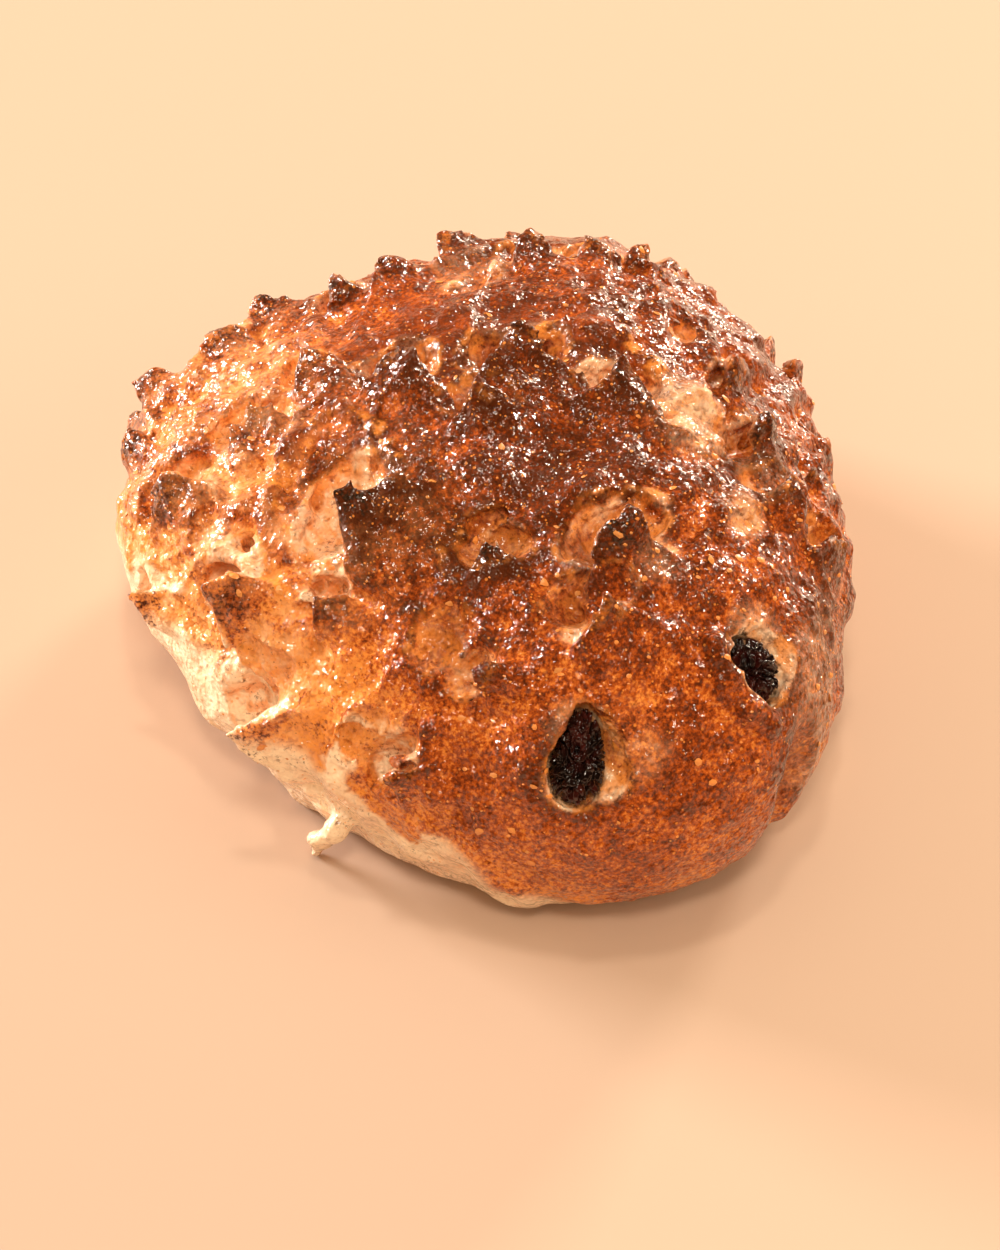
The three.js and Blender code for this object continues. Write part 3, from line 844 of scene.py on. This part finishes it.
def crust_material():
    look = looks()
    n = Nodes("baked crust")
    char, wall, rim, proud = n.mask("char"), n.mask("wall"), n.mask("rim"), n.mask("proud")
    pale, under, sunk = n.mask("pale"), n.mask("under"), n.mask("sunk")
    broad = n.noise(13, 3)
    mottle = n.noise(3.4, 5, 0.62, 0.4)
    grain = n.noise(0.6, 3, 0.65)
    # how well baked: more on the crown and on what stands proud, less where thin crust covers a cut
    calm = n.span(n.mask("snout"), 0, 1, 1, 0.6)
    bake = n.math("MULTIPLY", calm, n.span(mottle, 0.3, 0.7, -0.26, 0.28))
    bake = n.math("ADD", bake, n.span(broad, 0.3, 0.7, -0.16, 0.2))
    for name, amount in BAKING.items():
        bake = n.math("ADD", bake, n.math("MULTIPLY", n.mask(name), amount))
    bake = n.math("SUBTRACT", bake, n.span(pale, 0, 0.8, 0, 0.5))
    bake = n.math("ADD", bake, n.span(proud, -0.5, 0.6, -0.22, 0.4))
    even = n.span(n.mask("film"), 0, 1, 1, 0.5)
    bake = n.math("ADD", bake, n.math("MULTIPLY", even, n.span(grain, 0.3, 0.7, -0.4, 0.4)))
    ramp = n.add("ShaderNodeValToRGB", {"Fac": n.span(bake, -0.75, 1.1)})
    stops = ((0.04, look.golden), (0.38, look.amber), (0.72, look.brown), (1.0, look.scorched))
    for k, (place, tint) in enumerate(stops):
        stop = ramp.color_ramp.elements[k] if k < 2 else ramp.color_ramp.elements.new(place)
        stop.position = place
        stop.color = (*tint, 1)
    colour = ramp.outputs["Color"]
    # painted light on the left flank, with thinner honey crust: the side towards the left window is blended
    # towards honey
    left_flank_light_and_honey = n.math("MULTIPLY", n.mask("flank"), n.span(mottle, 0.35, 0.65, 0.4, 0))
    colour = n.blend(left_flank_light_and_honey, colour, look.honey)
    honey = n.blend(n.span(n.noise(1.6, 4, 0.6), 0.35, 0.65), look.dough, look.honey)
    thin = n.math("MULTIPLY", n.math("MAXIMUM", pale, n.math("MULTIPLY", wall, 0.2)),
                  n.span(mottle, 0.3, 0.62, 1.15, 0.3))
    colour = n.blend(n.math("MINIMUM", thin, 0.95), colour, honey)
    bare = n.math("MULTIPLY", n.span(pale, 0.55, 0.95), n.span(n.noise(1.9, 3), 0.3, 0.55, 1, 0.35))
    bare = n.math("MAXIMUM", bare, n.span(pale, 1, 1.25, 0, 0.85))
    colour = n.blend(bare, colour, look.crumb)
    raw = n.span(n.noise(2.2, 4, 0.6), 0.52, 0.8, 0, 0.4)
    raw = n.blend(raw, look.dough, look.golden)
    dough = n.math("MULTIPLY", under, n.span(broad, 0.3, 0.7, 1.0, 0.75))
    colour = n.blend(dough, colour, raw)
    edge = n.math("MULTIPLY", rim, n.span(n.noise(2.6, 3), 0.44, 0.6, 0, 0.7))
    colour = n.blend(edge, colour, look.golden)
    burnt = n.math("ADD", char, n.span(grain, 0.35, 0.65, -0.4, 0.35))
    burnt = n.math("ADD", burnt, n.span(mottle, 0.35, 0.65, -0.3, 0.2))
    colour = n.blend(n.span(burnt, 0.25, 0.7, 0, 0.9), colour, look.scorched)
    colour = n.blend(n.span(burnt, 0.65, 1.1), colour, look.char)
    meal = n.math("MULTIPLY", n.span(n.cells(0.8), 0.25, 0.12), n.span(n.noise(2.4, 1), 0.48, 0.6, 0, 0.8))
    colour = n.blend(n.math("MULTIPLY", meal, n.math("SUBTRACT", 1.0, wall)), colour, look.golden)
    speck = n.math("MULTIPLY", n.span(n.cells(1.5), 0.2, 0.1), n.span(n.noise(4, 1), 0.45, 0.6, 0, 0.7))
    colour = n.blend(speck, colour, look.golden)
    spots = n.math("MULTIPLY", n.span(n.cells(0.95), 0.2, 0.08), n.span(n.noise(3, 1), 0.45, 0.6, 0, 0.6))
    colour = n.blend(n.math("MULTIPLY", spots, n.math("SUBTRACT", 1.0, under)), colour, look.scorched)
    # painted shade in the hollows, with some deeper baking: sunk places darken towards brown, but not pale
    # cut walls or dough
    deep = n.span(sunk, -1.2, -0.2, 0.5, 0)
    deep = n.math("MULTIPLY", deep, n.math("SUBTRACT", 1.0, n.math("MAXIMUM", pale, under)))
    colour = n.blend(deep, colour, look.brown)
    roughness = n.span(grain, 0.3, 0.7, 0.3, 0.5)
    roughness = n.math("ADD", roughness, n.math("MULTIPLY", under, 0.25))
    blister = n.span(n.cells(0.95, "SMOOTH_F1"), 0.5, 0.1)
    bubbles = n.span(n.cells(1.4, "SMOOTH_F1"), 0.5, 0.1)
    bubbles = n.math("MULTIPLY", bubbles, n.math("MAXIMUM", wall, pale))
    normal = n.bump(n.noise(1.3, 2, 0.55), 0.45)
    normal = n.bump(bubbles, 0.35, normal)
    normal = n.bump(blister, 0.1, normal)
    glint = n.math("MULTIPLY", n.facets(0.75), n.span(n.math("MAXIMUM", wall, under), 0, 1, 1, 0.4))
    glint = n.math("MULTIPLY", glint, n.span(n.mask("film"), 0, 1, 1, 0.45))
    normal = n.bump(glint, 0.6, normal)
    n.shader.inputs["Coat Weight"].default_value = 0.8
    n.shader.inputs["Coat Roughness"].default_value = 0.07
    n.shader.inputs["Specular IOR Level"].default_value = 0.2
    n.shader.inputs["Specular Tint"].default_value = (1, 0.7, 0.45, 1)
    return n.finish(colour, roughness, normal)


class HEDGEHOG_OT_bake_roll(bpy.types.Operator):
    """Bakes the roll: the dome of dough with its cuts, points, pockets and spur"""
    bl_idname = "hedgehog.bake_roll"
    bl_label = "Bake the roll"

    def execute(self, context):
        s = shape()
        block = shape_roll(s)
        points, quads = block.skin()
        piece = new_object("crusty_roll", points, quads)
        thin_out(piece, MOST_TRIANGLES)
        mark_crust(piece, block, s)
        piece.data.materials.append(crust_material())
        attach(piece, "root")
        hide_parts("roll")
        return {"FINISHED"}


def raisin_material():
    look = looks()
    n = Nodes("raisin skin")
    tone = n.noise(2.5, 3)
    colour = n.blend(n.span(tone, 0.4, 0.75), look.raisin, look.juice)
    normal = n.bump(n.noise(0.9, 1, 0.5), 0.22)
    n.shader.inputs["Coat Weight"].default_value = 1.0
    n.shader.inputs["Coat Roughness"].default_value = 0.07
    n.shader.inputs["Specular IOR Level"].default_value = 0.1
    n.shader.inputs["Specular Tint"].default_value = (1, 0.5, 0.35, 1)
    return n.finish(colour, n.span(tone, 0.3, 0.7, 0.35, 0.5), normal)


def raisin_skin(half, taper, seed):
    """Points of a wrinkled raisin round its own centre in mm, and its faces."""
    build = bmesh.new()
    bmesh.ops.create_icosphere(build, subdivisions=7, radius=1)
    points = np.array([v.co for v in build.verts])
    faces = [[v.index for v in f.verts] for f in build.faces]
    build.free()
    # with no seed the vector noise differs from run to run
    noise.seed_set(SEED)
    shift = Vector((seed, 0, 0))
    depth = []
    for p in points:
        q = Vector(p * half)
        bend = Vector(noise.noise_vector(q * 0.35 + shift)) * 1.2
        fold = abs(noise.noise(q * 0.5 + bend + shift))
        crinkle = abs(noise.noise(q * 1.15 + bend - shift))
        depth.append(1.5 * max(0.28 - fold, 0) / 0.28 + 0.55 * max(0.3 - crinkle, 0) / 0.3)
    points = points * half * (1 - np.minimum(np.array(depth), 1.7) / half.mean())[:, None]
    points[:, 0] *= 1 - taper * points[:, 1] / half[1]
    return points, faces


class HEDGEHOG_OT_press_raisins(bpy.types.Operator):
    """Presses the two raisin eyes into their pockets"""
    bl_idname = "hedgehog.press_raisins"
    bl_label = "Press in the raisins"

    def execute(self, context):
        s = shape()
        material = raisin_material()
        for seed, (node, (bearing, rise, lean, half)) in enumerate(EYES.items()):
            place, axes = dome_frame(s, bearing, rise, lean)
            place = place - axes[2] * EYE_SINK
            points, faces = raisin_skin(np.array(half), EYE_TAPER[node], 3 + 5 * seed)
            piece = new_object("wrinkled_" + node, points @ axes + place, faces)
            piece.data.materials.append(material)
            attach(piece, "root")
            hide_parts(node)
        return {"FINISHED"}


def bran_material():
    look = looks()
    n = Nodes("bran")
    colour = n.blend(n.mask("tint"), look.bran, look.golden)
    n.shader.inputs["Coat Weight"].default_value = 0.4
    n.shader.inputs["Coat Roughness"].default_value = 0.15
    return n.finish(colour, 0.45, n.bump(n.noise(0.3, 2), 0.05))


class HEDGEHOG_OT_scatter_bran(bpy.types.Operator):
    """Bakes bran flakes and grains of meal on to the crust"""
    bl_idname = "hedgehog.scatter_bran"
    bl_label = "Scatter the bran"

    def execute(self, context):
        places = vertices_of(bpy.data.objects["crusty_roll"])
        roll = bpy.data.objects["crusty_roll"].data
        flat = np.empty(len(roll.vertices) * 3, np.float32)
        roll.vertex_normals.foreach_get("vector", flat)
        normals = flat.reshape(-1, 3)
        wall = np.empty(len(places), np.float32)
        roll.attributes["wall"].data.foreach_get("value", wall)
        draw = np.random.default_rng(SEED)
        # most of it lies high up and towards the face
        chance = smooth_step(8, 24, places[:, 2]) * (0.35 + smooth_step(10, -30, places[:, 1]))
        chance *= 1 - 0.8 * wall
        chosen = draw.choice(len(places), FLAKES, replace=False, p=chance / chance.sum())
        points, faces, tint = [], [], []
        for place, out in zip(places[chosen], normals[chosen]):
            radius = FLAKE_LEAST + FLAKE_SPREAD * draw.random() ** 6
            lean = Vector(out + draw.normal(0, 0.22, 3)).normalized()
            side = lean.orthogonal().normalized()
            over = lean.cross(side)
            start = len(points)
            turn = draw.random() * math.tau
            stretch = 0.55 + 0.45 * draw.random()
            for k in range(FLAKE_SIDES):
                angle = turn + k * math.tau / FLAKE_SIDES
                away = radius * (0.75 + 0.4 * draw.random())
                edge = side * math.cos(angle) * away * stretch + over * math.sin(angle) * away
                points.append(place + np.array(edge))
            thick = 0.1 + 0.12 * radius
            points.append(place + np.array(lean) * thick)
            points.append(place - np.array(lean) * thick * 2)
            for k in range(FLAKE_SIDES):
                a, b = start + k, start + (k + 1) % FLAKE_SIDES
                faces += [(a, b, start + FLAKE_SIDES), (b, a, start + FLAKE_SIDES + 1)]
            tint += [draw.random()] * (FLAKE_SIDES + 2)
        piece = new_object("bran_flakes", np.array(points), faces)
        add_mask(piece, "tint", tint)
        piece.data.polygons.foreach_set("use_smooth", [False] * len(piece.data.polygons))
        piece.data.materials.append(bran_material())
        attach(piece, "root")
        return {"FINISHED"}


def add_light(name, place, aim, size, power, colour):
    data = bpy.data.lights.new(name, "AREA")
    data.shape = "RECTANGLE"
    data.size, data.size_y = size
    data.energy = power
    data.color = colour
    light = bpy.data.objects.new(name, data)
    light.location = place
    light.rotation_euler = (Vector(aim) - Vector(place)).to_track_quat("-Z", "Y").to_euler()
    bpy.context.scene.collection.objects.link(light)
    return light


def view_axes(azimuth, elevation):
    """Towards the camera, to the right and up in the picture."""
    back = Vector((math.sin(azimuth) * math.cos(elevation), -math.cos(azimuth) * math.cos(elevation),
                   math.sin(elevation)))
    right = Vector((math.cos(azimuth), math.sin(azimuth), 0))
    return back, right, back.cross(right)


class HEDGEHOG_OT_set_stage(bpy.types.Operator):
    """Sets the floor, the windows, the lamps and the camera"""
    bl_idname = "hedgehog.set_stage"
    bl_label = "Set the stage"

    def execute(self, context):
        look = context.scene.stage_look
        back, right, up = view_axes(look.azimuth, look.elevation)
        middle = Vector((0, 0, MIDDLE_HEIGHT)) - Vector(MIDDLE * MM)
        off_x, off_y = PICTURE_WIDTH / 2 - MIDDLE_PIXEL[0], PICTURE_HEIGHT / 2 - MIDDLE_PIXEL[1]
        aim = middle + right * off_x / PIXELS_PER_METRE - up * off_y / PIXELS_PER_METRE
        data = bpy.data.cameras.new("camera")
        data.sensor_fit = "VERTICAL"
        data.sensor_height = 36
        data.lens = PIXELS_PER_METRE * look.distance * data.sensor_height / PICTURE_HEIGHT
        camera = bpy.data.objects.new("camera", data)
        camera.location = middle + back * look.distance
        towards = (aim - camera.location).normalized()
        side = towards.cross(up).normalized()
        over = side.cross(towards)
        camera.rotation_euler = Matrix((side, over, -towards)).transposed().to_euler()
        context.scene.collection.objects.link(camera)
        context.scene.camera = camera

        bpy.ops.mesh.primitive_plane_add(size=6)
        floor = context.object
        floor.name = "floor"
        n = Nodes("pale floor")
        floor.data.materials.append(n.finish(look.floor, 0.6, n.bump(n.noise(8, 2), 0.01)))

        away = Vector((-back.x, -back.y, 0)).normalized()
        for name, (turn, rise, width, height, share, tint, mirrored) in LAMPS.items():
            heading = Matrix.Rotation(math.radians(-turn), 3, "Z") @ away
            climb = math.radians(rise)
            place = (heading * math.cos(climb) + Vector((0, 0, math.sin(climb)))) * LAMP_REACH
            lamp = add_light(name, place, LAMP_AIM, (width, height), look.window * share, tint)
            lamp.visible_glossy = mirrored
        world = bpy.data.worlds.new("room")
        world.use_nodes = True
        glow = world.node_tree.nodes["Background"].inputs
        glow["Color"].default_value = (1, 0.8, 0.52, 1)
        glow["Strength"].default_value = look.room
        context.scene.world = world
        world.cycles_visibility.glossy = False
        context.scene.view_settings.view_transform = "Standard"
        return {"FINISHED"}


class HEDGEHOG_PT_panel(bpy.types.Panel):
    """Lists the sizes, the colours and the steps of the roll"""
    bl_idname = "HEDGEHOG_PT_panel"
    bl_label = "Hedgehog roll"
    bl_space_type = "VIEW_3D"
    bl_region_type = "UI"
    bl_category = "Hedgehog roll"

    def draw(self, context):
        for step in STEPS:
            self.layout.operator(step.bl_idname)
        for group in (context.scene.roll_sizes, context.scene.crust_look, context.scene.stage_look):
            for name in group.__annotations__:
                self.layout.prop(group, name)


STEPS = (HEDGEHOG_OT_bake_roll, HEDGEHOG_OT_press_raisins, HEDGEHOG_OT_scatter_bran, HEDGEHOG_OT_set_stage)
CLASSES = (RollSizes, CrustLook, StageLook, *STEPS, HEDGEHOG_PT_panel)


def register():
    for each in CLASSES:
        bpy.utils.register_class(each)
    bpy.types.Scene.roll_sizes = bpy.props.PointerProperty(type=RollSizes)
    bpy.types.Scene.crust_look = bpy.props.PointerProperty(type=CrustLook)
    bpy.types.Scene.stage_look = bpy.props.PointerProperty(type=StageLook)


def unregister():
    del bpy.types.Scene.stage_look
    del bpy.types.Scene.crust_look
    del bpy.types.Scene.roll_sizes
    for each in reversed(CLASSES):
        bpy.utils.unregister_class(each)


def main():
    register()
    for step in STEPS:
        area, name = step.bl_idname.split(".")
        getattr(getattr(bpy.ops, area), name)()


if __name__ == "__main__":
    main()
